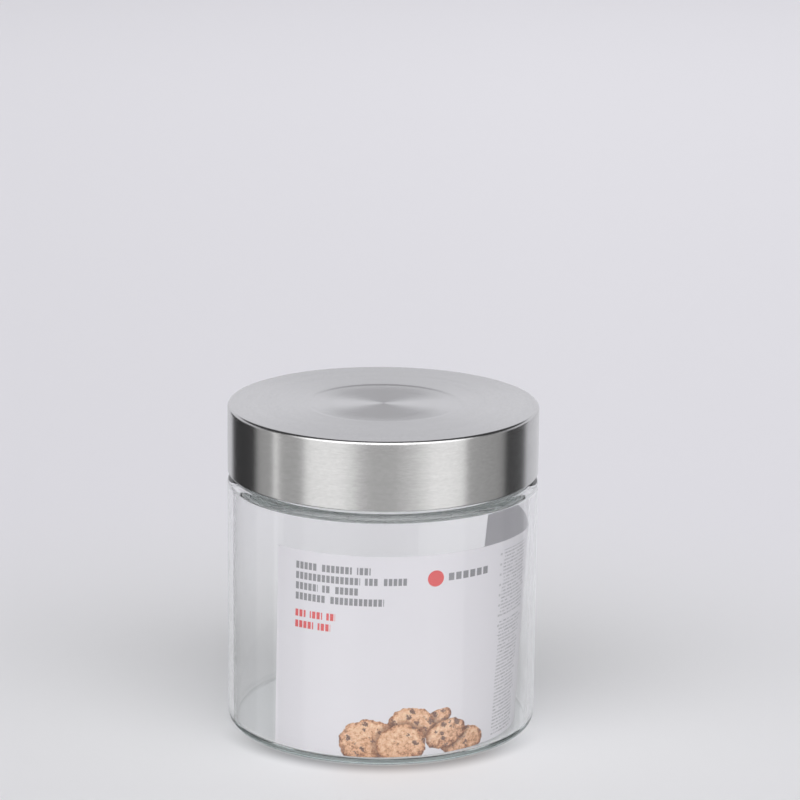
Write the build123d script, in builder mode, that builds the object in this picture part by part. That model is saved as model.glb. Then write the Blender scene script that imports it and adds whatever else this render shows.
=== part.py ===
from build123d import *

import os
from math import cos, pi, radians, sin, sqrt

# A glass storage jar with a screw-on steel lid.
# The jar's axis is Z, the table is z = 0 and the front of the jar looks along -Y.
# All sizes are millimetres and all angles are degrees.

# ---- overall sizes: the glass body and the lid are flush ----
outer_diameter = 95.0
total_height = 100.0
lid_lift_gap = 1.6  # open gap between the glass shoulder and the closed lid

# ---- steel shell of the lid: a drawn cup with a folded lower edge ----
shell_thickness = 0.5
skirt_height = 21.0
shell_edge_radius = 1.0
hem_height = 1.8
hem_gap = 0.1
coin_diameter = 44.6  # shallow pressed disc in the middle of the top
coin_depth = 0.15
coin_ramp = 1.6
coin_blend = 4.0

# ---- plastic liner of the lid, held inside the shell ----
liner_gap = 0.05  # all round and above, between liner and shell
liner_wall = 2.15
liner_ceiling = 1.2
liner_mouth_chamfer = 0.6
liner_mouth_round = 0.12
plug_wall = 1.2  # ring that reaches down into the mouth of the jar
plug_reach = 1.5
plug_round = 0.36
plug_seal_gap = 0.3
retainer_height = 1.0  # rib that keeps the seal ring in the liner
retainer_depth = 0.6
retainer_gap = 0.12  # below the seal ring
retainer_round = 0.18
ceiling_rib_count = 12  # shallow ribs that stiffen the ceiling
ceiling_rib_width = 1.0
ceiling_rib_height = 0.5
hub_diameter = 12.0

# ---- seal ring ----
seal_thickness = 1.8
seal_side_gap = 0.3
seal_face_gap = 0.02
seal_overlap = 0.8  # how far the ring reaches inside the glass rim
seal_lip_radius = 0.35

# ---- glass jar ----
wall = 2.2
base_thickness = 1.8
neck_wall = 2.8
shoulder_wall = 2.2
heel_radius = 2.2
floor_radius = 0.8
shoulder_radius = 1.8
neck_root_radius = 2.6
rim_radius = 1.2
inner_neck_radius = 2.0
inner_shoulder_radius = 0.5
bearing_ring_width = 3.5
push_up = 0.8
shoulder_share = 0.4  # most of the step in the glass that one rounding takes
root_share = 0.58
rim_share = 0.45

# ---- screw thread: rounded beads on the neck and in the liner ----
thread_starts = 4
thread_lead = 20.0
bead_radius = 1.3
bead_crest_gap = 0.5  # radial room between a glass bead and the liner
glass_bead_span = 90.0
liner_bead_span = 70.0
bead_below_rim = 3.2

# ---- loose printed sheet rolled up inside the jar ----
label_thickness = 0.2
label_headroom = 12.65  # from the sheet's upper edge to the jar's shoulder
label_floor_gap = 0.2
label_top_gap = 0.4  # between the sheet and the glass at its upper edge
label_taper = 2.0  # how much smaller the roll is at its lower edge
label_contact = -135.0  # where the lower edge touches the wall, measured from +X
label_start = -132.0
label_low_start = -133.5
label_span = 171.0

# ---- sizes that follow from the ones above ----
outer_radius = outer_diameter / 2
shell_bore = outer_radius - shell_thickness
coin_radius = coin_diameter / 2
liner_radius = shell_bore - liner_gap
liner_bore = liner_radius - liner_wall
neck_radius = liner_bore - bead_crest_gap - bead_radius
mouth_radius = neck_radius - neck_wall
inner_radius = outer_radius - wall
seal_outer = liner_bore - seal_side_gap
seal_inner = mouth_radius - seal_overlap
plug_outer = seal_inner - plug_seal_gap
plug_inner = plug_outer - plug_wall

skirt_bottom = total_height - skirt_height
shoulder_z = skirt_bottom - lid_lift_gap
shell_ceiling = total_height - shell_thickness
liner_top = shell_ceiling - coin_depth - liner_gap
liner_under = liner_top - liner_ceiling
liner_bottom = skirt_bottom + hem_height + liner_gap
seal_top = liner_under - seal_face_gap
seal_bottom = seal_top - seal_thickness
rim_z = seal_bottom - seal_face_gap
retainer_top = seal_bottom - retainer_gap
retainer_bottom = retainer_top - retainer_height
plug_bottom = rim_z - plug_reach
inner_shoulder_z = shoulder_z - shoulder_wall

thread_pitch = thread_lead / thread_starts
glass_bead_top = rim_z - bead_below_rim
glass_bead_bottom = glass_bead_top - thread_lead * glass_bead_span / 360
liner_bead_shift = (glass_bead_span - liner_bead_span) / 2
liner_bead_bottom = glass_bead_bottom - thread_pitch / 2 + thread_lead * liner_bead_shift / 360

os.makedirs("parts", exist_ok=True)


def thread_bead(path_radius, start_z, span):
    """One rounded bead that climbs the thread's helix from +X, with ball ends."""
    with BuildPart() as bead:
        with BuildLine() as path:
            Helix(
                pitch=thread_lead,
                height=thread_lead * span / 360,
                radius=path_radius,
                center=(0, 0, start_z),
            )
        with BuildSketch(Plane(origin=path.line @ 0, z_dir=path.line % 0)):
            Circle(bead_radius)
        sweep(path=path.line, is_frenet=True)
        with Locations(path.line @ 0, path.line @ 1):
            Sphere(bead_radius)
    return bead.part


# ---- glass jar: one turned outline, then the thread beads ----
bearing_outer = outer_radius - heel_radius
bearing_inner = bearing_outer - bearing_ring_width
dome_radius = (bearing_inner**2 + push_up**2) / (2 * push_up)
dome_middle_x = bearing_inner / 2
dome_middle_z = push_up - dome_radius + sqrt(dome_radius**2 - dome_middle_x**2)
outer_step = outer_radius - neck_radius
inner_step = inner_radius - mouth_radius
glass_rounds = [
    heel_radius,
    min(shoulder_radius, shoulder_share * outer_step),
    min(neck_root_radius, root_share * outer_step),
    min(rim_radius, rim_share * neck_wall),
    min(rim_radius, rim_share * neck_wall),
    min(inner_neck_radius, shoulder_share * inner_step),
    inner_shoulder_radius,
    floor_radius,
]

with BuildPart() as glass_jar:
    with BuildSketch(Plane.XZ) as jar_section:
        with BuildLine() as jar_outline:
            ThreePointArc((0, push_up), (dome_middle_x, dome_middle_z), (bearing_inner, 0))
            FilletPolyline(
                (bearing_inner, 0),
                (outer_radius, 0),
                (outer_radius, shoulder_z),
                (neck_radius, shoulder_z),
                (neck_radius, rim_z),
                (mouth_radius, rim_z),
                (mouth_radius, inner_shoulder_z),
                (inner_radius, inner_shoulder_z),
                (inner_radius, base_thickness),
                (bearing_inner, base_thickness),
                radius=glass_rounds,
            )
            ThreePointArc(
                (bearing_inner, base_thickness),
                (dome_middle_x, dome_middle_z + base_thickness),
                (0, push_up + base_thickness),
            )
            Line((0, push_up + base_thickness), (0, push_up))
        make_face()
    revolve(axis=Axis.Z)
    with PolarLocations(0, thread_starts):
        add(thread_bead(neck_radius, glass_bead_bottom, glass_bead_span))
glass_jar.part.label = "glass_jar"
export_step(glass_jar.part, "parts/glass_jar.step")

# ---- steel shell: outer face down, round the hem, and back up inside ----
hem_round = shell_thickness
hem_inner = shell_bore - hem_gap - shell_thickness
hem_top = skirt_bottom + hem_height
ramp_radius = coin_radius + coin_ramp

with BuildPart() as lid_shell:
    with BuildSketch(Plane.XZ) as shell_section:
        with BuildLine() as shell_outline:
            FilletPolyline(
                (0, total_height - coin_depth),
                (coin_radius, total_height - coin_depth),
                (ramp_radius, total_height),
                (outer_radius, total_height),
                (outer_radius, skirt_bottom),
                (hem_inner, skirt_bottom),
                (hem_inner, hem_top),
                (hem_inner + shell_thickness, hem_top),
                (hem_inner + shell_thickness, skirt_bottom + shell_thickness),
                (shell_bore, skirt_bottom + shell_thickness),
                (shell_bore, shell_ceiling),
                (ramp_radius, shell_ceiling),
                (coin_radius, shell_ceiling - coin_depth),
                (0, shell_ceiling - coin_depth),
                radius=[
                    coin_blend,
                    coin_blend,
                    shell_edge_radius,
                    hem_round,
                    hem_round,
                    0,
                    0,
                    0,
                    0,
                    shell_edge_radius - shell_thickness,
                    coin_blend,
                    coin_blend,
                ],
            )
            Line((0, shell_ceiling - coin_depth), (0, total_height - coin_depth))
        make_face()
    revolve(axis=Axis.Z)
lid_shell.part.label = "lid_shell"
export_step(lid_shell.part, "parts/lid_shell.step")

# ---- plastic liner: a cup with a plug ring, a retaining rib and thread beads ----
retainer_radius = liner_bore - retainer_depth
hub_radius = hub_diameter / 2
rib_start = hub_radius - ceiling_rib_width
rib_end = plug_inner + plug_wall / 2
with BuildPart() as lid_liner:
    with BuildSketch(Plane.XZ) as liner_section:
        with BuildLine() as liner_outline:
            FilletPolyline(
                (0, liner_under),
                (plug_inner, liner_under),
                (plug_inner, plug_bottom),
                (plug_outer, plug_bottom),
                (plug_outer, liner_under),
                (liner_bore, liner_under),
                (liner_bore, retainer_top),
                (retainer_radius, retainer_top),
                (retainer_radius, retainer_bottom),
                (liner_bore, retainer_bottom - retainer_depth),
                (liner_bore, liner_bottom + liner_mouth_chamfer),
                (liner_bore + liner_mouth_chamfer, liner_bottom),
                (liner_radius, liner_bottom),
                (liner_radius, liner_top),
                (0, liner_top),
                radius=[
                    plug_round,
                    plug_round,
                    plug_round,
                    0,
                    0,
                    0,
                    retainer_round,
                    retainer_round,
                    0,
                    0,
                    0,
                    liner_mouth_round,
                    shell_edge_radius,
                ],
            )
            Line((0, liner_top), (0, liner_under))
        make_face()
    revolve(axis=Axis.Z)
    with PolarLocations(0, thread_starts, start_angle=liner_bead_shift):
        add(thread_bead(liner_bore, liner_bead_bottom, liner_bead_span))
    with BuildSketch(Plane.XY.offset(liner_under)) as ceiling_ribs:
        Circle(hub_radius)
        with PolarLocations(rib_start, ceiling_rib_count):
            Rectangle(rib_end - rib_start, ceiling_rib_width, align=(Align.MIN, Align.CENTER))
    extrude(amount=-ceiling_rib_height)
lid_liner.part.label = "lid_liner"
export_step(lid_liner.part, "parts/lid_liner.step")

# ---- seal ring: a flat ring with rounded edges that rests on the glass rim ----
with BuildPart() as seal_ring:
    with BuildSketch(Plane.XZ) as seal_section:
        with Locations(((seal_inner + seal_outer) / 2, (seal_bottom + seal_top) / 2)):
            RectangleRounded(seal_outer - seal_inner, seal_thickness, seal_lip_radius)
    revolve(axis=Axis.Z)
seal_ring.part.label = "seal_ring"
export_step(seal_ring.part, "parts/seal_ring.step")

# ---- printed sheet: a slightly conical half roll that stands on the floor ----
label_bottom = base_thickness + label_floor_gap
label_top = shoulder_z - label_headroom
label_top_radius = inner_radius - label_top_gap


def label_edge(radius, start, height):
    """The thin arc of the sheet's cross-section at one height. It has the sheet's whole length."""
    lean = label_top_radius - radius
    middle = (lean * cos(radians(label_contact)), lean * sin(radians(label_contact)))
    span = label_span * label_top_radius / radius
    with BuildSketch(Plane.XY.offset(height)) as edge:
        with BuildLine(Plane.XY.offset(height)):
            outer = CenterArc(middle, radius, start, span)
            inner = CenterArc(middle, radius - label_thickness, start, span)
            Line(outer @ 0, inner @ 0)
            Line(outer @ 1, inner @ 1)
        make_face()
    return edge.sketch


with BuildPart() as label_insert:
    lower_edge = label_edge(label_top_radius - label_taper, label_low_start, label_bottom)
    upper_edge = label_edge(label_top_radius, label_start, label_top)
    loft([lower_edge.face(), upper_edge.face()], ruled=True)
label_insert.part.label = "label_insert"
export_step(label_insert.part, "parts/label_insert.step")

body_room = pi * inner_radius**2 * (inner_shoulder_z - base_thickness)
neck_room = pi * mouth_radius**2 * (rim_z - inner_shoulder_z)
print("the jar holds about", round((body_room + neck_room) / 1000), "ml to the brim")
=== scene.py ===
import math

import bpy
from mathutils import Matrix, Vector


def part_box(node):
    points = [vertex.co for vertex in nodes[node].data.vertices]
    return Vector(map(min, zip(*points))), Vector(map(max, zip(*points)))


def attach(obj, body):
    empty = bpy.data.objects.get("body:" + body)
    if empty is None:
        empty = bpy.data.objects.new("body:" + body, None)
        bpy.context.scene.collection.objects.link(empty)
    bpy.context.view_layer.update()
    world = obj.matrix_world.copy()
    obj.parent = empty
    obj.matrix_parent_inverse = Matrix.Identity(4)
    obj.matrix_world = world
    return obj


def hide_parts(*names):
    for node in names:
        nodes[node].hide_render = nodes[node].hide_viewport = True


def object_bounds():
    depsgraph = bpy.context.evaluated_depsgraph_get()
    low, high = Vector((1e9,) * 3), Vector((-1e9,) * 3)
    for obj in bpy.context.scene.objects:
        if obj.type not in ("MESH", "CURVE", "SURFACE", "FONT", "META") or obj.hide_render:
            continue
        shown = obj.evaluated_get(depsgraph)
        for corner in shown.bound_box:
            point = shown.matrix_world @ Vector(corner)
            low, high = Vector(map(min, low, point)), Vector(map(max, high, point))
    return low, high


# A glass storage jar with a screw-on brushed-steel lid and a loose printed sheet inside.
# Lengths are metres unless a name ends in _mm, and angles are degrees unless noted.

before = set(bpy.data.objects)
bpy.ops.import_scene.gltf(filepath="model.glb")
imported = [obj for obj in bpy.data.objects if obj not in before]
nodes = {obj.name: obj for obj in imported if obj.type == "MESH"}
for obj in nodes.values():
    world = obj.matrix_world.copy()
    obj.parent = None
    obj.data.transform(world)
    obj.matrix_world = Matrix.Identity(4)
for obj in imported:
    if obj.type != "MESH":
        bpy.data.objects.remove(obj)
cad_low, cad_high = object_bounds()
jar_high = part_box("glass_jar")[1]
shell_low, shell_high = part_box("lid_shell")
label_low, label_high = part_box("label_insert")

MM = 0.001
TURN_STEPS = 256  # facets round every turned piece
ARC_STEP = 9.0  # degrees between points on a rounded corner
EDGE_GUARD = 0.15 * MM  # short run kept beside each rounded corner
CREASE_ANGLE = 40  # edges that bend more than this stay sharp

# ---- sizes read from model.glb ----
outer_radius = cad_high.x
rim_z = jar_high.z
lid_top = shell_high.z
skirt_bottom = shell_low.z
label_bottom = label_low.z
label_top = label_high.z

# ---- the jar's own sizes ----
lid_lift_gap = 1.6 * MM  # open gap between the glass shoulder and the closed lid
shoulder_z = skirt_bottom - lid_lift_gap
heel_radius = 2.2 * MM
shoulder_radius = 1.8 * MM
neck_root_radius = 2.6 * MM
rim_radius = 1.2 * MM
inner_neck_radius = 2.0 * MM
inner_shoulder_radius = 0.5 * MM
floor_radius = 0.8 * MM
wall = 2.2 * MM
base_thickness = 1.8 * MM
neck_radius = 43.0 * MM
mouth_radius = 40.2 * MM
shoulder_thickness = 2.2 * MM
inner_shoulder_z = shoulder_z - shoulder_thickness
inner_radius = outer_radius - wall
bearing_ring_width = 3.5 * MM
bearing_inner = outer_radius - heel_radius - bearing_ring_width
push_up = 0.8 * MM
neck_foot = 4.0 * MM  # the shoulder's outline ends this far above the shoulder
neck_head = 1.25 * MM  # the rim's outline starts this far below the rim
thread_rows_above_shoulder = 4.2 * MM  # the rows that carry the thread lie between the two
thread_rows_below_rim = 1.3 * MM

# ---- the screw thread on the glass neck ----
THREAD_STARTS = 4
thread_lead = 20.0 * MM
bead_radius = 1.3 * MM
bead_span = 90.0
bead_below_rim = 3.2 * MM
bead_bottom = rim_z - bead_below_rim - thread_lead * bead_span / 360

# ---- the lid shell ----
shell_thickness = 0.5 * MM
coin_radius = 22.3 * MM
coin_depth = 0.15 * MM
coin_ramp = 1.6 * MM
coin_blend = 4.0 * MM
shell_edge_radius = 1.0 * MM
hem_gap = 0.1 * MM
hem_height = 1.8 * MM

# ---- the printed sheet ----
label_thickness = 0.2 * MM
label_top_gap = 0.4 * MM  # between the sheet and the glass at its upper edge
label_taper = 2.0 * MM  # how much smaller the roll is at its lower edge
label_top_radius = inner_radius - label_top_gap
label_bottom_radius = label_top_radius - label_taper
label_contact = -135.0
label_start = -132.0
label_span = 171.0
label_low_start = -133.5
label_low_span = label_span * label_top_radius / label_bottom_radius
label_length_mm = math.radians(label_span) * label_top_radius / MM
label_height_mm = (label_top - label_bottom) / MM


# ---------------------------------------------------------------- outlines and meshes


def rounded(points, radii):
    """An open outline in the (r, z) plane: straight runs joined by arcs, one radius per inner point."""
    outline = [Vector(points[0])]
    for before, corner, after, radius in zip(points, points[1:], points[2:], radii):
        before, corner, after = Vector(before), Vector(corner), Vector(after)
        if radius == 0:
            outline.append(corner)
            continue
        towards, away = (before - corner).normalized(), (after - corner).normalized()
        half = towards.angle(away) / 2
        reach = radius / math.tan(half)
        start, end = corner + towards * reach, corner + away * reach
        middle = corner + (towards + away).normalized() * (radius / math.sin(half))
        sweep = math.pi - 2 * half
        steps = max(2, math.ceil(math.degrees(sweep) / ARC_STEP))
        first = math.atan2(start.y - middle.y, start.x - middle.x)
        turn = (start - middle).cross(end - middle)
        outline.append(start + towards * EDGE_GUARD)
        for i in range(steps + 1):
            angle = first + math.copysign(sweep, turn) * i / steps
            outline.append(middle + radius * Vector((math.cos(angle), math.sin(angle))))
        outline.append(end + away * EDGE_GUARD)
    outline.append(Vector(points[-1]))
    return outline


def dome(radius, rise, base_z, steps=24):
    """Points of a shallow spherical cap from its edge to just before the axis."""
    ball = (radius**2 + rise**2) / (2 * rise)
    points = []
    for i in range(steps):
        r = radius * (1 - i / steps)
        points.append(Vector((r, base_z + rise - ball + math.sqrt(ball**2 - r**2))))
    return points


def mesh_object(name, vertices, faces, body, replaced=None):
    """A smooth mesh piece that rides on a body and may stand for a CAD node."""
    mesh = bpy.data.meshes.new(name)
    mesh.from_pydata([tuple(v) for v in vertices], [], faces)
    mesh.validate()
    mesh.shade_smooth()
    mesh.set_sharp_from_angle(angle=math.radians(CREASE_ANGLE))
    piece = bpy.data.objects.new(name, mesh)
    bpy.context.scene.collection.objects.link(piece)
    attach(piece, body)
    if replaced:
        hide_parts(replaced)
    return piece


def turned(outline, swell=None):
    """Vertices and faces of an outline turned round Z, from a point on the axis to a point on the axis.
    swell(angle, z) adds to the radius of the points that ask for it, given as (r, z, True)."""
    vertices, rings = [], []
    for point in outline:
        r, z = point[0], point[1]
        swells = len(point) > 2 and swell is not None
        if r < 1e-9:
            rings.append([len(vertices)])
            vertices.append((0, 0, z))
            continue
        ring = []
        for i in range(TURN_STEPS):
            angle = 2 * math.pi * i / TURN_STEPS
            reach = r + (swell(angle, z) if swells else 0)
            ring.append(len(vertices))
            vertices.append((reach * math.cos(angle), reach * math.sin(angle), z))
        rings.append(ring)
    faces = []
    for lower, upper in zip(rings, rings[1:]):
        for i in range(TURN_STEPS):
            j = (i + 1) % TURN_STEPS
            if len(lower) == 1:
                faces.append((lower[0], upper[j], upper[i]))
            elif len(upper) == 1:
                faces.append((lower[i], lower[j], upper[0]))
            else:
                faces.append((lower[i], lower[j], upper[j], upper[i]))
    return vertices, faces


# ---------------------------------------------------------------- shader helpers


class Graph:
    """Short calls for building a node tree."""

    def __init__(self, tree):
        self.tree = tree
        tree.nodes.clear()

    def node(self, kind, inputs=None, **settings):
        made = self.tree.nodes.new(kind)
        for key, value in settings.items():
            setattr(made, key, value)
        for key, value in (inputs or {}).items():
            self.feed(made.inputs[key], value)
        return made

    def feed(self, socket, value):
        if isinstance(value, bpy.types.NodeSocket):
            self.tree.links.new(value, socket)
        elif socket.type == "RGBA" and isinstance(value, float):
            socket.default_value = (value, value, value, 1)
        else:
            socket.default_value = value

    def math(self, operation, *values):
        made = self.node("ShaderNodeMath", operation=operation)
        for socket, value in zip(made.inputs, values):
            self.feed(socket, value)
        return made.outputs[0]

    def step(self, value, low, high):
        """0 below low, 1 above high, smooth between."""
        made = self.node("ShaderNodeMapRange", interpolation_type="SMOOTHSTEP")
        for key, fed in (("Value", value), ("From Min", low), ("From Max", high)):
            self.feed(made.inputs[key], fed)
        return made.outputs[0]

    def remap(self, value, low, high, to_low, to_high):
        made = self.node("ShaderNodeMapRange")
        pairs = (("From Min", low), ("From Max", high), ("To Min", to_low), ("To Max", to_high))
        for key, fed in (("Value", value), *pairs):
            self.feed(made.inputs[key], fed)
        return made.outputs[0]

    def mix(self, factor, a, b):
        made = self.node("ShaderNodeMix", data_type="RGBA")
        self.feed(made.inputs["Factor"], factor)
        self.feed(made.inputs["A"], a)
        self.feed(made.inputs["B"], b)
        return made.outputs["Result"]

    def vector(self, x, y, z=0.0):
        return self.node("ShaderNodeCombineXYZ", {"X": x, "Y": y, "Z": z}).outputs[0]

    def split(self, vector):
        return self.node("ShaderNodeSeparateXYZ", {"Vector": vector}).outputs

    def noise(self, vector, scale, detail=2.0, roughness=0.5):
        inputs = {"Vector": vector, "Scale": scale, "Detail": detail, "Roughness": roughness}
        return self.node("ShaderNodeTexNoise", inputs, noise_dimensions="3D").outputs["Fac"]

    def bump(self, height, distance):
        inputs = {"Height": height, "Distance": distance, "Strength": 1.0}
        return self.node("ShaderNodeBump", inputs).outputs[0]


def new_material(name):
    material = bpy.data.materials.new(name)
    material.use_nodes = True
    return material, Graph(material.node_tree)


def finish_material(graph, inputs, volume=None, lit_through=None):
    """Adds the surface shader and the output. lit_through tints the light that passes without bending."""
    surface = graph.node("ShaderNodeBsdfPrincipled", inputs).outputs[0]
    if lit_through is not None:
        path = graph.node("ShaderNodeLightPath").outputs
        lamp_ray = graph.math("MAXIMUM", path["Is Shadow Ray"], path["Is Diffuse Ray"])
        clear = graph.node("ShaderNodeBsdfTransparent", {"Color": lit_through}).outputs[0]
        mixed = graph.node("ShaderNodeMixShader", {0: lamp_ray, 1: surface, 2: clear})
        surface = mixed.outputs[0]
    output = graph.node("ShaderNodeOutputMaterial", {"Surface": surface})
    if volume is not None:
        graph.feed(output.inputs["Volume"], volume)


def object_coordinates(graph):
    return graph.node("ShaderNodeTexCoord").outputs["Object"]


# ---------------------------------------------------------------- materials


def glass_material():
    """Soda-lime glass: clear, with a green cast that only shows along thick or edge-on glass."""
    upright_stretch = 0.45  # the ripples are slower along the jar's height
    ripple_scale = 55
    ripple_height = 0.007 * MM
    haze_scale = 140
    most_haze = 0.012
    green_cast = (0.78, 0.90, 0.86, 1)
    cast_density = 9.0
    passing_tint = (0.965, 0.97, 0.968, 1)

    material, g = new_material("clear_glass")
    place = object_coordinates(g)
    x, y, z = g.split(place)
    drawn = g.vector(x, y, g.math("MULTIPLY", z, upright_stretch))
    waves = g.noise(drawn, ripple_scale, 1.5)
    ripple = g.bump(waves, ripple_height)
    haze = g.remap(g.noise(place, haze_scale, 4), 0.35, 0.75, 0.0, most_haze)
    absorb = g.node("ShaderNodeVolumeAbsorption", {"Color": green_cast, "Density": cast_density})
    finish_material(
        g,
        {
            "Base Color": (1, 1, 1, 1),
            "Roughness": haze,
            "IOR": 1.52,
            "Transmission Weight": 1.0,
            "Normal": ripple,
        },
        absorb.outputs[0],
        passing_tint,
    )
    return material


def steel_material():
    """Stainless steel brushed round the axis: rings on the top, level lines on the skirt."""
    axis_guard = 0.2 * MM  # keeps the direction round the axis defined at the axis
    side_roughness = 0.25
    top_roughness = 0.15
    disc_extra_roughness = 0.075
    disc_fade_start = 27 * MM
    disc_fade_end = 15 * MM
    roughness_spread = 0.02
    groove_height = 0.0008 * MM
    flat_from, flat_to = 0.45, 0.75  # how upright a face has to point to count as the top
    dark_steel = (0.70, 0.695, 0.69, 1)
    light_steel = (0.80, 0.795, 0.79, 1)

    material, g = new_material("brushed_steel")
    place = object_coordinates(g)
    x, y, z = g.split(place)
    radius = g.math("SQRT", g.math("ADD", g.math("MULTIPLY", x, x), g.math("MULTIPLY", y, y)))
    safe = g.math("MAXIMUM", radius, axis_guard)
    cos_a, sin_a = g.math("DIVIDE", x, safe), g.math("DIVIDE", y, safe)
    normal_z = g.split(g.node("ShaderNodeNewGeometry").outputs["Normal"])[2]
    on_top = g.step(g.math("ABSOLUTE", normal_z), flat_from, flat_to)
    across = g.split(g.mix(on_top, z, radius))[0]

    def lines(around, fine, detail):
        """Scratches drawn out round the axis: slow along the ring, quick across it."""
        vector = g.vector(
            g.math("MULTIPLY", cos_a, around),
            g.math("MULTIPLY", sin_a, around),
            g.math("MULTIPLY", across, fine),
        )
        return g.noise(vector, 1.0, detail, 0.65)

    hair = lines(16.0, 4200, 3)
    scratch = lines(30.0, 1500, 2)
    band = lines(1.5, 300, 2)
    tone = g.math("ADD", g.math("MULTIPLY", hair, 0.5), g.math("MULTIPLY", scratch, 0.5))
    tone = g.math("ADD", tone, g.math("MULTIPLY", g.math("SUBTRACT", band, 0.5), 0.25))
    color = g.mix(g.remap(tone, 0.3, 0.7, 0, 1), dark_steel, light_steel)
    spun = g.step(radius, disc_fade_start, disc_fade_end)
    top_rough = g.math("ADD", top_roughness, g.math("MULTIPLY", spun, disc_extra_roughness))
    rough = g.split(g.mix(on_top, side_roughness, top_rough))[0]
    rough = g.math("ADD", rough, g.remap(hair, 0.3, 0.7, -roughness_spread, roughness_spread))
    height = g.math("ADD", g.math("MULTIPLY", hair, 0.6), g.math("MULTIPLY", scratch, 0.4))
    grooves = g.bump(height, groove_height)
    tangent = g.node("ShaderNodeTangent", direction_type="RADIAL", axis="Z").outputs[0]
    finish_material(
        g,
        {
            "Base Color": color,
            "Metallic": 1.0,
            "Roughness": rough,
            "Anisotropic": 0.95,
            "Anisotropic Rotation": 0.25,
            "Tangent": tangent,
            "Normal": grooves,
        },
    )
    return material


def liner_material():
    """White moulded polypropylene: satin, slightly translucent."""
    material, g = new_material("liner_plastic")
    place = object_coordinates(g)
    grain = g.noise(place, 2600, 3)
    flow = g.noise(place, 90, 2)
    color = g.mix(g.remap(flow, 0.3, 0.7, 0, 1), (0.76, 0.775, 0.77, 1), (0.83, 0.84, 0.835, 1))
    finish_material(
        g,
        {
            "Base Color": color,
            "Roughness": g.remap(grain, 0.3, 0.7, 0.38, 0.52),
            "IOR": 1.49,
            "Subsurface Weight": 0.25,
            "Subsurface Radius": (0.004, 0.004, 0.004),
            "Normal": g.bump(grain, 0.01 * MM),
        },
    )
    return material


def seal_material():
    """Translucent milky silicone with a soft bloom."""
    material, g = new_material("seal_silicone")
    place = object_coordinates(g)
    bloom = g.noise(place, 320, 4)
    color = g.mix(g.remap(bloom, 0.35, 0.7, 0, 1), (0.72, 0.73, 0.71, 1), (0.80, 0.81, 0.79, 1))
    finish_material(
        g,
        {
            "Base Color": color,
            "Roughness": g.remap(bloom, 0.3, 0.7, 0.5, 0.7),
            "IOR": 1.42,
            "Subsurface Weight": 0.35,
            "Subsurface Radius": (0.003, 0.003, 0.003),
            "Normal": g.bump(g.noise(place, 1800, 2), 0.01 * MM),
        },
    )
    return material


# ---- the printed sheet's layout, in millimetres from its lower left corner ----
WHITE_PAPER = (0.765, 0.74, 0.777, 1)
GREY_INK = (0.27, 0.265, 0.28, 1)
RED_INK = (0.74, 0.10, 0.10, 1)
COOKIE_SHADOW = (0.16, 0.065, 0.04, 1)
SHADOW_STRENGTH = 0.6
PAPER_CLOUD = (0.72, 0.70, 0.74, 1)
CHIP_DARK = (0.11, 0.05, 0.038, 1)
CHIP_LIGHT = (0.34, 0.20, 0.155, 1)
text_left_mm = 6.85
text_cap_mm = 2.2
block_pitch_mm = 1.42
block_fill = 0.74
title_rows = [
    (58.1, [(0.0, 6.9), (8.3, 17.6), (19.1, 23.1)]),
    (54.9, [(0.0, 20.1), (21.5, 25.5), (27.0, 33.8)]),
    (51.7, [(0.0, 7.3), (8.7, 11.2), (12.6, 19.7)]),
    (48.5, [(0.0, 9.7), (11.0, 27.2)]),
]
red_rows = [
    (43.2, [(0.0, 3.5), (4.9, 8.9), (10.2, 12.9)]),
    (39.8, [(0.0, 6.1), (7.5, 11.5)]),
]
emblem_mm = (49.3, 55.4)
emblem_radius_mm = 2.5
name_bar_mm = (53.35, 67.75, 54.3, 56.6)
name_pitch_mm = 2.43
fine_left_mm = 74.8
fine_slant_mm = -2.7
fine_right_mm = 89.0
fine_right_low_mm = 87.6
fine_break_mm = 39.0
fine_top_mm = 60.0
fine_pitch_mm = 1.08
fine_low_mm = 1.2
fine_ragged_mm = 6.0  # how far the ends of the fine rows may differ
fine_ragged_start_mm = 3.5
fine_ink = 0.66
dot_left_mm = 72.8
dot_width_mm = 0.9
dot_ink = 0.5
dot_low_mm = 33.0
dot_pitch_mm = 3.24
second_block_mm = (98.0, 124.0, 18.0, 52.0)
# each cookie: centre, half sizes, turn, seed; later ones lie on top
cookies = [
    ((51.1, 11.4), (5.0, 2.6), 20, 7.3),
    ((59.9, 2.9), (8.1, 4.7), -4, 9.7),
    ((43.2, 10.1), (7.3, 5.5), -6, 3.1),
    ((54.3, 6.0), (6.9, 4.5), 16, 5.9),
    ((30.1, 5.2), (8.6, 6.9), 4, 1.4),
    ((40.3, 3.6), (7.5, 6.8), 0, 4.6),
]


def bar_group():
    """Mask of a rectangle with soft edges."""
    tree = bpy.data.node_groups.new("bar", "ShaderNodeTree")
    for name in ("U", "V", "Left", "Right", "Low", "High"):
        tree.interface.new_socket(name, in_out="INPUT", socket_type="NodeSocketFloat")
    tree.interface.new_socket("Mask", in_out="OUTPUT", socket_type="NodeSocketFloat")
    g = Graph(tree)
    given = g.node("NodeGroupInput").outputs
    soft = 0.1
    mask = None
    for value, edge, sign in (("U", "Left", 1), ("U", "Right", -1), ("V", "Low", 1), ("V", "High", -1)):
        gap = g.math("MULTIPLY", g.math("SUBTRACT", given[value], given[edge]), sign)
        side = g.step(gap, -soft, soft)
        mask = side if mask is None else g.math("MULTIPLY", mask, side)
    g.node("NodeGroupOutput", {"Mask": mask})
    return tree


baked_tones = [
    (0.0, (0.15, 0.055, 0.03, 1)),
    (0.26, (0.42, 0.19, 0.10, 1)),
    (0.55, (0.76, 0.43, 0.26, 1)),
    (1.0, (0.93, 0.68, 0.48, 1)),
]


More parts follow.
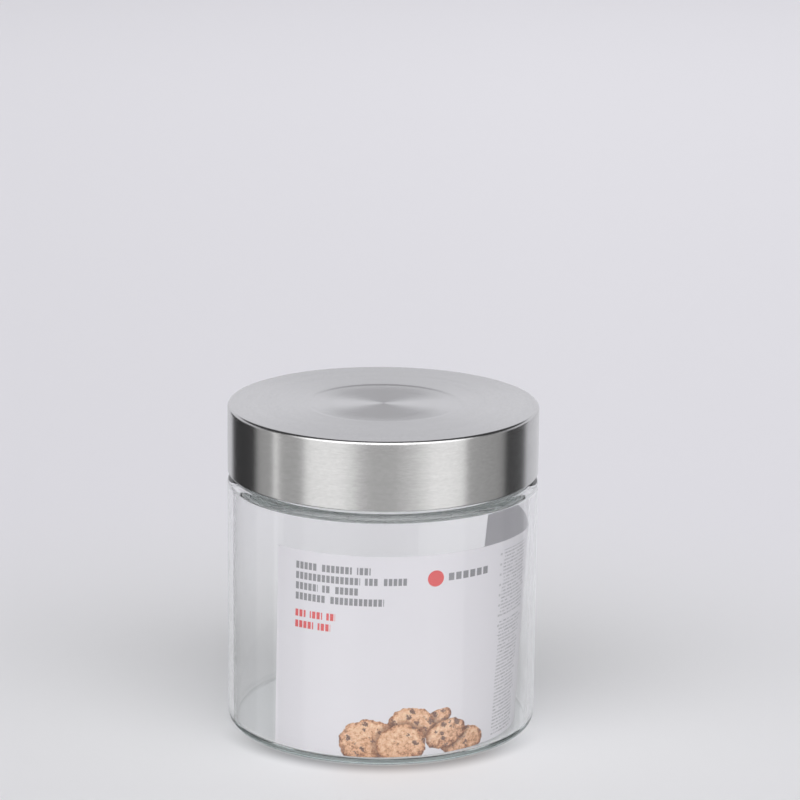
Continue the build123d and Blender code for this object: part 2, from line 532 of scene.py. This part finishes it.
def cookie_group():
    """Colour and mask of one baked cookie with chocolate pieces.
    Near is 1 at the cookie and falls off round it, for the shadow that it drops on what lies under it."""
    edge_wobble = 0.34
    soft_edge = 0.965
    light_from_above = 0.22
    light_from_left = -0.06
    lump_contrast = 2.2
    crumb_contrast = 0.9
    rim_start = 0.72
    rim_darkening = 0.42
    chip_bend_mm = 3.6
    chip_cells = 0.42  # per millimetre
    bare_share = 0.40  # share of the cells without a chip
    chip_edge = 0.40
    chip_core = 0.32
    shadow_reach = 1.30

    tree = bpy.data.node_groups.new("cookie", "ShaderNodeTree")
    names = ("U", "V", "Centre U", "Centre V", "Half U", "Half V", "Turn", "Seed")
    for name in names:
        tree.interface.new_socket(name, in_out="INPUT", socket_type="NodeSocketFloat")
    tree.interface.new_socket("Color", in_out="OUTPUT", socket_type="NodeSocketColor")
    tree.interface.new_socket("Near", in_out="OUTPUT", socket_type="NodeSocketFloat")
    tree.interface.new_socket("Mask", in_out="OUTPUT", socket_type="NodeSocketFloat")
    g = Graph(tree)
    given = g.node("NodeGroupInput").outputs
    du = g.math("SUBTRACT", given["U"], given["Centre U"])
    dv = g.math("SUBTRACT", given["V"], given["Centre V"])
    cos_t, sin_t = g.math("COSINE", given["Turn"]), g.math("SINE", given["Turn"])
    pu = g.math("ADD", g.math("MULTIPLY", du, cos_t), g.math("MULTIPLY", dv, sin_t))
    pv = g.math("SUBTRACT", g.math("MULTIPLY", dv, cos_t), g.math("MULTIPLY", du, sin_t))
    qu, qv = g.math("DIVIDE", pu, given["Half U"]), g.math("DIVIDE", pv, given["Half V"])
    flat = g.vector(pu, pv, given["Seed"])
    wobble = g.math("SUBTRACT", g.noise(flat, 0.42, 3, 0.6), 0.5)
    reach = g.math("SQRT", g.math("ADD", g.math("MULTIPLY", qu, qu), g.math("MULTIPLY", qv, qv)))
    edge = g.math("ADD", reach, g.math("MULTIPLY", wobble, edge_wobble))
    mask = g.step(edge, 1.0, soft_edge)
    lumps = g.noise(flat, 0.8, 6, 0.66)
    crumbs = g.noise(flat, 2.6, 3, 0.7)
    light = g.math("ADD", g.math("MULTIPLY", qv, light_from_above), g.math("MULTIPLY", qu, light_from_left))
    light = g.math("ADD", light, g.math("MULTIPLY", g.math("SUBTRACT", lumps, 0.5), lump_contrast))
    light = g.math("ADD", light, g.math("MULTIPLY", g.math("SUBTRACT", crumbs, 0.5), crumb_contrast))
    rim = g.step(edge, rim_start, 1.0)
    light = g.math("SUBTRACT", light, g.math("MULTIPLY", rim, rim_darkening))
    ramp = g.node("ShaderNodeValToRGB", {"Fac": g.remap(light, -0.6, 0.45, 0, 1)})
    elements = ramp.color_ramp.elements
    elements[0].color, elements[1].color = baked_tones[0][1], baked_tones[-1][1]
    for position, tone in baked_tones[1:-1]:
        elements.new(position).color = tone
    bend = g.math("MULTIPLY", g.math("SUBTRACT", g.noise(flat, 1.0, 3, 0.65), 0.5), chip_bend_mm)
    bent = g.vector(g.math("ADD", pu, bend), g.math("SUBTRACT", pv, bend), given["Seed"])
    cells = g.node("ShaderNodeTexVoronoi", {"Vector": bent, "Scale": chip_cells, "Randomness": 1.0})
    picked = g.math("GREATER_THAN", g.split(cells.outputs["Color"])[0], bare_share)
    chip = g.math("MULTIPLY", g.step(cells.outputs["Distance"], chip_edge, chip_core), picked)
    chip_color = g.mix(g.remap(crumbs, 0.35, 0.65, 0, 1), CHIP_DARK, CHIP_LIGHT)
    near = g.step(edge, shadow_reach, 1.0)
    color = g.mix(chip, ramp.outputs[0], chip_color)
    g.node("NodeGroupOutput", {"Color": color, "Near": near, "Mask": mask})
    return tree


def paper_material(printed):
    """White paper, plain or with the printed layout."""
    material, g = new_material("printed_paper" if printed else "plain_paper")
    place = object_coordinates(g)
    fibre = g.noise(place, 1500, 4, 0.7)
    cloud = g.noise(place, 60, 2)
    shade = g.remap(cloud, 0.3, 0.7, 0.0, 0.06)
    color = g.mix(shade, WHITE_PAPER, PAPER_CLOUD)
    if printed:
        color = print_layout(g, color, fibre)
    finish_material(
        g,
        {
            "Base Color": color,
            "Roughness": g.remap(fibre, 0.3, 0.7, 0.5, 0.68),
            "Specular IOR Level": 0.35,
            "Normal": g.bump(fibre, 0.008 * MM),
        },
    )
    return material


def print_layout(g, paper, fibre):
    """Generic print: rows of plain blocks, a red dot, a grey bar, fine rows and a picture of cookies."""
    u, v, _ = g.split(g.node("ShaderNodeUVMap", uv_map="print").outputs[0])
    u = g.math("MULTIPLY", u, label_length_mm)
    v = g.math("MULTIPLY", v, label_height_mm)
    bars = bar_group()

    def grouped(tree, inputs):
        made = g.node("ShaderNodeGroup", node_tree=tree)
        for key, value in inputs.items():
            g.feed(made.inputs[key], value)
        return made.outputs

    def plain_bar(left, right, low, high):
        inputs = {"U": u, "V": v, "Left": left, "Right": right, "Low": low, "High": high}
        return grouped(bars, inputs)["Mask"]

    def together(masks):
        total = masks[0]
        for mask in masks[1:]:
            total = g.math("MAXIMUM", total, mask)
        return total

    def rows(listed):
        """Words as bars, cut into plain blocks of one width."""
        half = text_cap_mm / 2
        masks = [
            plain_bar(text_left_mm + start, text_left_mm + end, middle - half, middle + half)
            for middle, words in listed
            for start, end in words
        ]
        return g.math("MULTIPLY", together(masks), blocks(text_left_mm, block_pitch_mm))

    def blocks(left, pitch):
        """1 in each block and 0 in the gap after it."""
        cut = g.math("FRACT", g.math("DIVIDE", g.math("SUBTRACT", u, left), pitch))
        return g.step(cut, block_fill + 0.06, block_fill - 0.06)

    color = g.mix(rows(title_rows), paper, GREY_INK)
    color = g.mix(rows(red_rows), color, RED_INK)

    du = g.math("SUBTRACT", u, emblem_mm[0])
    dv = g.math("SUBTRACT", v, emblem_mm[1])
    away = g.math("SQRT", g.math("ADD", g.math("MULTIPLY", du, du), g.math("MULTIPLY", dv, dv)))
    color = g.mix(g.step(away, emblem_radius_mm + 0.1, emblem_radius_mm - 0.1), color, RED_INK)
    name_blocks = g.math("MULTIPLY", plain_bar(*name_bar_mm), blocks(name_bar_mm[0], name_pitch_mm))
    color = g.mix(name_blocks, color, GREY_INK)

    drop = g.math("SUBTRACT", 1.0, g.math("DIVIDE", v, label_height_mm))
    slanted = g.math("SUBTRACT", u, g.math("MULTIPLY", drop, fine_slant_mm))
    row = g.math("DIVIDE", v, fine_pitch_mm)
    in_row = g.math("FRACT", row)
    stroke = g.math("MULTIPLY", g.step(in_row, 0.15, 0.3), g.step(in_row, 0.75, 0.6))
    index = g.math("FLOOR", row)
    letters = g.noise(g.vector(g.math("MULTIPLY", u, 1.7), g.math("MULTIPLY", index, 7.31)), 1.0, 2.0)
    ragged = g.noise(g.vector(0.5, g.math("MULTIPLY", index, 3.7)), 1.0, 0.0)
    ends = g.math("MULTIPLY", ragged, fine_ragged_mm)
    upper_end = g.math("ADD", fine_right_mm - fine_ragged_start_mm, ends)
    lower_end = g.math("ADD", fine_right_low_mm - fine_ragged_start_mm, ends)

    def fine_block(right, low, high):
        inputs = {"U": slanted, "V": v, "Left": fine_left_mm, "Right": right, "Low": low, "High": high}
        return grouped(bars, inputs)["Mask"]

    upper = fine_block(upper_end, fine_break_mm, fine_top_mm)
    lower = fine_block(lower_end, fine_low_mm, fine_break_mm - fine_pitch_mm)
    areas = together([upper, lower, plain_bar(*second_block_mm)])
    ink = g.remap(letters, 0.36, 0.56, 0.0, fine_ink)
    fine = g.math("MULTIPLY", g.math("MULTIPLY", stroke, ink), areas)
    dot_row = g.math("FRACT", g.math("DIVIDE", v, dot_pitch_mm))
    dots = g.math("MULTIPLY", g.step(dot_row, 0.02, 0.08), g.step(dot_row, 0.30, 0.24))
    dot_column = plain_bar(dot_left_mm, dot_left_mm + dot_width_mm, dot_low_mm, fine_top_mm)
    dots = g.math("MULTIPLY", dots, dot_column)
    fine = g.math("MAXIMUM", fine, g.math("MULTIPLY", dots, dot_ink))
    color = g.mix(fine, color, GREY_INK)

    tree = cookie_group()
    covered = 0.0
    for (centre_u, centre_v), (half_u, half_v), turn, seed in cookies:
        values = (u, v, centre_u, centre_v, half_u, half_v, math.radians(turn), seed)
        names = ("U", "V", "Centre U", "Centre V", "Half U", "Half V", "Turn", "Seed")
        cookie = grouped(tree, dict(zip(names, values)))
        shadow = g.math("MULTIPLY", g.math("MULTIPLY", cookie["Near"], covered), SHADOW_STRENGTH)
        color = g.mix(shadow, color, COOKIE_SHADOW)
        color = g.mix(cookie["Mask"], color, cookie["Color"])
        covered = g.math("MAXIMUM", covered, cookie["Mask"])
    return color


# ---------------------------------------------------------------- pieces


def thread_swell(angle, z):
    """How far the thread beads stand out of the neck at one place."""
    most = 0.0
    for start in range(THREAD_STARTS):
        along = (math.degrees(angle) - 360 * start / THREAD_STARTS) % 360
        if along > 180 + bead_span / 2:
            along -= 360
        climbed = min(max(along, 0.0), bead_span)
        centre_z = bead_bottom + thread_lead * climbed / 360
        overrun = math.radians(along - climbed) * neck_radius
        away = math.hypot(z - centre_z, overrun)
        if away < bead_radius:
            most = max(most, math.sqrt(bead_radius**2 - away**2))
    return most


def make_jar():
    """The glass body in one closed skin, with the thread raised on its neck."""
    outside = rounded(
        [
            (bearing_inner, 0),
            (outer_radius, 0),
            (outer_radius, shoulder_z),
            (neck_radius, shoulder_z),
            (neck_radius, shoulder_z + neck_foot),
        ],
        [heel_radius, shoulder_radius, neck_root_radius],
    )
    neck_low = shoulder_z + thread_rows_above_shoulder
    neck_high = rim_z - thread_rows_below_rim
    neck_rows = 56
    neck = [
        (neck_radius, neck_low + (neck_high - neck_low) * i / neck_rows, True)
        for i in range(neck_rows + 1)
    ]
    inside = rounded(
        [
            (neck_radius, rim_z - neck_head),
            (neck_radius, rim_z),
            (mouth_radius, rim_z),
            (mouth_radius, inner_shoulder_z),
            (inner_radius, inner_shoulder_z),
            (inner_radius, base_thickness),
            (bearing_inner, base_thickness),
        ],
        [rim_radius, rim_radius, inner_neck_radius, inner_shoulder_radius, floor_radius],
    )
    under = list(reversed(dome(bearing_inner, push_up, 0)))
    floor = dome(bearing_inner, push_up, base_thickness)
    outline = [(0, push_up)] + under[:-1] + outside + neck + inside[:-1] + floor
    outline.append((0, base_thickness + push_up))
    vertices, faces = turned(outline, thread_swell)
    piece = mesh_object("glass_jar_body", vertices, faces, "jar", "glass_jar")
    piece.data.materials.append(glass_material())
    return piece


def make_lid_shell():
    """The drawn steel cup with its folded lower edge."""
    bore = outer_radius - shell_thickness
    hem_inner = bore - hem_gap - shell_thickness
    hem_top = skirt_bottom + hem_height
    ramp = coin_radius + coin_ramp
    ceiling = lid_top - shell_thickness
    edge_inside = shell_edge_radius - shell_thickness
    hem_round = shell_thickness
    outline = rounded(
        [
            (0, ceiling - coin_depth),
            (coin_radius, ceiling - coin_depth),
            (ramp, ceiling),
            (bore, ceiling),
            (bore, skirt_bottom + shell_thickness),
            (hem_inner + shell_thickness, skirt_bottom + shell_thickness),
            (hem_inner + shell_thickness, hem_top),
            (hem_inner, hem_top),
            (hem_inner, skirt_bottom),
            (outer_radius, skirt_bottom),
            (outer_radius, lid_top),
            (ramp, lid_top),
            (coin_radius, lid_top - coin_depth),
            (0, lid_top - coin_depth),
        ],
        [
            coin_blend,
            coin_blend,
            edge_inside,
            0,
            0,
            0,
            0,
            hem_round,
            hem_round,
            shell_edge_radius,
            coin_blend,
            coin_blend,
        ],
    )
    vertices, faces = turned([tuple(p) for p in outline])
    piece = mesh_object("lid_steel_shell", vertices, faces, "lid", "lid_shell")
    piece.data.materials.append(steel_material())
    return piece


def make_label():
    """The printed sheet, a slightly conical half roll with a thickness."""
    columns, rows = 180, 60

    def point(s, t, inset):
        """One point of the sheet, s of the way along and t of the way up. One side leans on the wall."""
        radius = label_bottom_radius + (label_top_radius - label_bottom_radius) * t - inset
        start = label_low_start + (label_start - label_low_start) * t
        span = label_low_span + (label_span - label_low_span) * t
        angle = math.radians(start + span * s)
        off = (label_top_radius - label_bottom_radius) * (1 - t)
        lean = math.radians(label_contact)
        x = off * math.cos(lean) + radius * math.cos(angle)
        y = off * math.sin(lean) + radius * math.sin(angle)
        return (x, y, label_bottom + (label_top - label_bottom) * t)

    vertices, faces = [], []
    for inset in (0.0, label_thickness):
        for j in range(rows + 1):
            for i in range(columns + 1):
                vertices.append(point(i / columns, j / rows, inset))
    wide = columns + 1
    layer = wide * (rows + 1)
    for j in range(rows):
        for i in range(columns):
            a = j * wide + i
            faces.append((a, a + 1, a + 1 + wide, a + wide))
    printed_count = len(faces)
    for j in range(rows):
        for i in range(columns):
            a = layer + j * wide + i
            faces.append((a, a + wide, a + 1 + wide, a + 1))
    for i in range(columns):
        low, high = i, rows * wide + i
        faces.append((low, low + layer, low + layer + 1, low + 1))
        faces.append((high, high + 1, high + layer + 1, high + layer))
    for j in range(rows):
        left, right = j * wide, j * wide + columns
        faces.append((left, left + wide, left + wide + layer, left + layer))
        faces.append((right, right + layer, right + layer + wide, right + wide))
    piece = mesh_object("paper_sheet", vertices, faces, "jar", "label_insert")
    mesh = piece.data
    layout = mesh.uv_layers.new(name="print")
    for loop in mesh.loops:
        k = loop.vertex_index % layer
        layout.data[loop.index].uv = ((k % wide) / columns, (k // wide) / rows)
    mesh.materials.append(paper_material(printed=True))
    mesh.materials.append(paper_material(printed=False))
    for polygon in mesh.polygons:
        polygon.material_index = 0 if polygon.index < printed_count else 1
    return piece


def dress_cad_nodes():
    """The liner and the seal keep their CAD shape and get their finish."""
    for name, material in (("lid_liner", liner_material()), ("seal_ring", seal_material())):
        mesh = nodes[name].data
        mesh.materials.clear()
        mesh.materials.append(material)


# ---------------------------------------------------------------- studio


def make_floor():
    """A large pale table top, with painted shade to the far left and a painted soft shadow in front of the
    foot.
    """
    half = 3.0
    below_foot = 0.0002
    far_tone = (0.82, 0.81, 0.85, 1)
    near_tone = (0.83, 0.83, 0.84, 1)
    # colour of the painted shade to the far left
    left_shade_tone = (0.52, 0.515, 0.535, 1)
    # colour of the painted contact shadow in front of the foot
    foot_shadow_tone = (0.22, 0.22, 0.225, 1)
    near_start, near_full = 0.30, 0.05
    left_start, left_full, left_shade_strength = 0.10, -0.35, 0.16
    # strength of the painted contact shadow in front of the foot
    foot_shadow_strength = 0.75

    mesh = bpy.data.meshes.new("floor")
    corners = [(-half, -half, 0), (half, -half, 0), (half, half, 0), (-half, half, 0)]
    mesh.from_pydata(corners, [], [(0, 1, 2, 3)])
    floor = bpy.data.objects.new("floor", mesh)
    bpy.context.scene.collection.objects.link(floor)
    floor.location.z = -below_foot
    floor.visible_glossy = False
    material, g = new_material("pale_floor")
    place = object_coordinates(g)
    x, y, _ = g.split(place)
    radius = g.math("SQRT", g.math("ADD", g.math("MULTIPLY", x, x), g.math("MULTIPLY", y, y)))
    near = g.step(radius, near_start, near_full)
    color = g.mix(near, far_tone, near_tone)
    # painted shade: the table darkens towards the far left, standing in for less light falling there
    shade = g.remap(x, left_start, left_full, 0.0, left_shade_strength)
    color = g.mix(shade, color, left_shade_tone)
    # painted contact shadow: a soft darker ring on the table just round the front of the foot, standing in
    # for the jar's shadow
    beyond = g.step(radius, outer_radius + 7 * MM, outer_radius - 2 * MM)
    within = g.step(radius, outer_radius - 4 * MM, outer_radius - 1 * MM)
    in_front = g.step(y, -0.25 * outer_radius, -0.85 * outer_radius)
    ring = g.math("MULTIPLY", beyond, within)
    painted_contact_shadow = g.math("MULTIPLY", ring, g.math("MULTIPLY", in_front, foot_shadow_strength))
    color = g.mix(painted_contact_shadow, color, foot_shadow_tone)
    finish_material(g, {"Base Color": color, "Roughness": 0.6, "Specular IOR Level": 0.2})
    floor.data.materials.append(material)


# the studio seen from the jar: (azimuth from the camera side, + to its right, brightness)
studio_bands = [
    (-180, 0.69),
    (-175, 0.64),
    (-147, 0.62),
    (-146, 0.012),
    (-108, 0.02),
    (-105, 0.40),
    (-88, 0.38),
    (-86, 1.10),
    (-83.5, 1.10),
    (-82, 0.40),
    (-62, 0.42),
    (-57, 0.93),
    (-33, 0.93),
    (-24, 0.78),
    (-15, 0.50),
    (-8, 0.41),
    (8, 0.41),
    (20, 0.56),
    (30, 0.74),
    (38, 0.95),
    (62, 0.93),
    (65, 0.41),
    (99, 0.34),
    (103, 0.03),
    (128, 0.045),
    (131, 0.55),
    (155, 0.66),
    (175, 0.74),
]
BACKDROP = (0.70, 0.69, 0.735, 1)
MIRRORED_BACKDROP = (0.70, 0.70, 0.735, 1)
CEILING_BEHIND = (0.06, 0.06, 0.062, 1)
CEILING_IN_FRONT = (2.45, 2.45, 2.48, 1)
BACK_BLUE = 1.05  # the bands behind the jar are this much bluer
BACK_EDGES = (-147, 131)


def make_world():
    """Soft boxes, dark gaps and the backdrop as bands of light round the jar, and a ceiling.
    The ceiling is bright in front and dark behind, so a lid seen from high above mirrors the dark part."""
    world = bpy.data.worlds.new("studio")
    bpy.context.scene.world = world
    world.use_nodes = True
    g = Graph(world.node_tree)
    way = g.node("ShaderNodeTexCoord").outputs["Generated"]
    x, y, z = g.split(way)
    azimuth = g.math("ARCTAN2", x, g.math("MULTIPLY", y, -1))
    share = g.remap(azimuth, -math.pi, math.pi, 0, 1)
    ramp = g.node("ShaderNodeValToRGB", {"Fac": share})
    elements = ramp.color_ramp.elements
    elements.remove(elements[1])
    for i, (angle, level) in enumerate(studio_bands):
        place = (angle + 180) / 360
        blue = BACK_BLUE if angle <= BACK_EDGES[0] or angle >= BACK_EDGES[1] else 1.0
        element = elements[0] if i == 0 else elements.new(place)
        element.position = place
        element.color = (level, level, level * blue, 1)
    bands = ramp.outputs[0]
    above_table = g.math("MULTIPLY", g.step(z, 0.02, 0.16), g.step(y, 0.0, 0.4))
    bands = g.mix(above_table, bands, MIRRORED_BACKDROP)
    over = g.step(z, 0.36, 0.52)
    in_front = g.step(y, 0.0, -0.45)
    ceiling = g.mix(in_front, CEILING_BEHIND, CEILING_IN_FRONT)
    light = g.mix(over, bands, ceiling)
    camera_ray = g.node("ShaderNodeLightPath").outputs["Is Camera Ray"]
    seen = g.mix(camera_ray, light, BACKDROP)
    background = g.node("ShaderNodeBackground", {"Color": seen, "Strength": 1.0})
    g.node("ShaderNodeOutputWorld", {"Surface": background.outputs[0]})


def deepen_light_paths():
    """Light bounces on inside the thick glass instead of ending black."""
    paths = bpy.context.scene.cycles
    paths.max_bounces = 24
    paths.glossy_bounces = 16
    paths.transmission_bounces = 20
    paths.transparent_max_bounces = 24


def make_back_light():
    """A large soft lamp behind the jar that lifts the table round it. Shiny surfaces don't mirror it."""
    data = bpy.data.lights.new("back_light", "AREA")
    data.shape = "RECTANGLE"
    data.size, data.size_y = 2.4, 1.2
    data.energy = 4.0
    lamp = bpy.data.objects.new("back_light", data)
    bpy.context.scene.collection.objects.link(lamp)
    lamp.location = (0.0, 1.5, 1.3)
    lamp.rotation_euler = (-lamp.location).to_track_quat("-Z", "Y").to_euler()
    lamp.visible_camera = lamp.visible_glossy = lamp.visible_transmission = False


def make_camera():
    """A long lens, looking a little down, turned by its slight roll."""
    data = bpy.data.cameras.new("camera")
    data.lens = 141.9
    data.sensor_width = 36.0
    data.clip_start = 0.05
    data.clip_end = 20
    camera = bpy.data.objects.new("camera", data)
    bpy.context.scene.collection.objects.link(camera)
    camera.location = (0.0050, -0.9320, 0.3347)
    pitch, roll = 14.085, 0.593
    tilt = Matrix.Rotation(math.radians(90 - pitch), 3, "X")
    twist = Matrix.Rotation(math.radians(roll), 3, "Z")
    camera.rotation_euler = (tilt @ twist).to_euler()
    bpy.context.scene.camera = camera


make_jar()
make_lid_shell()
make_label()
dress_cad_nodes()
make_floor()
make_world()
make_back_light()
make_camera()
deepen_light_paths()
bpy.context.scene.view_settings.view_transform = "Standard"
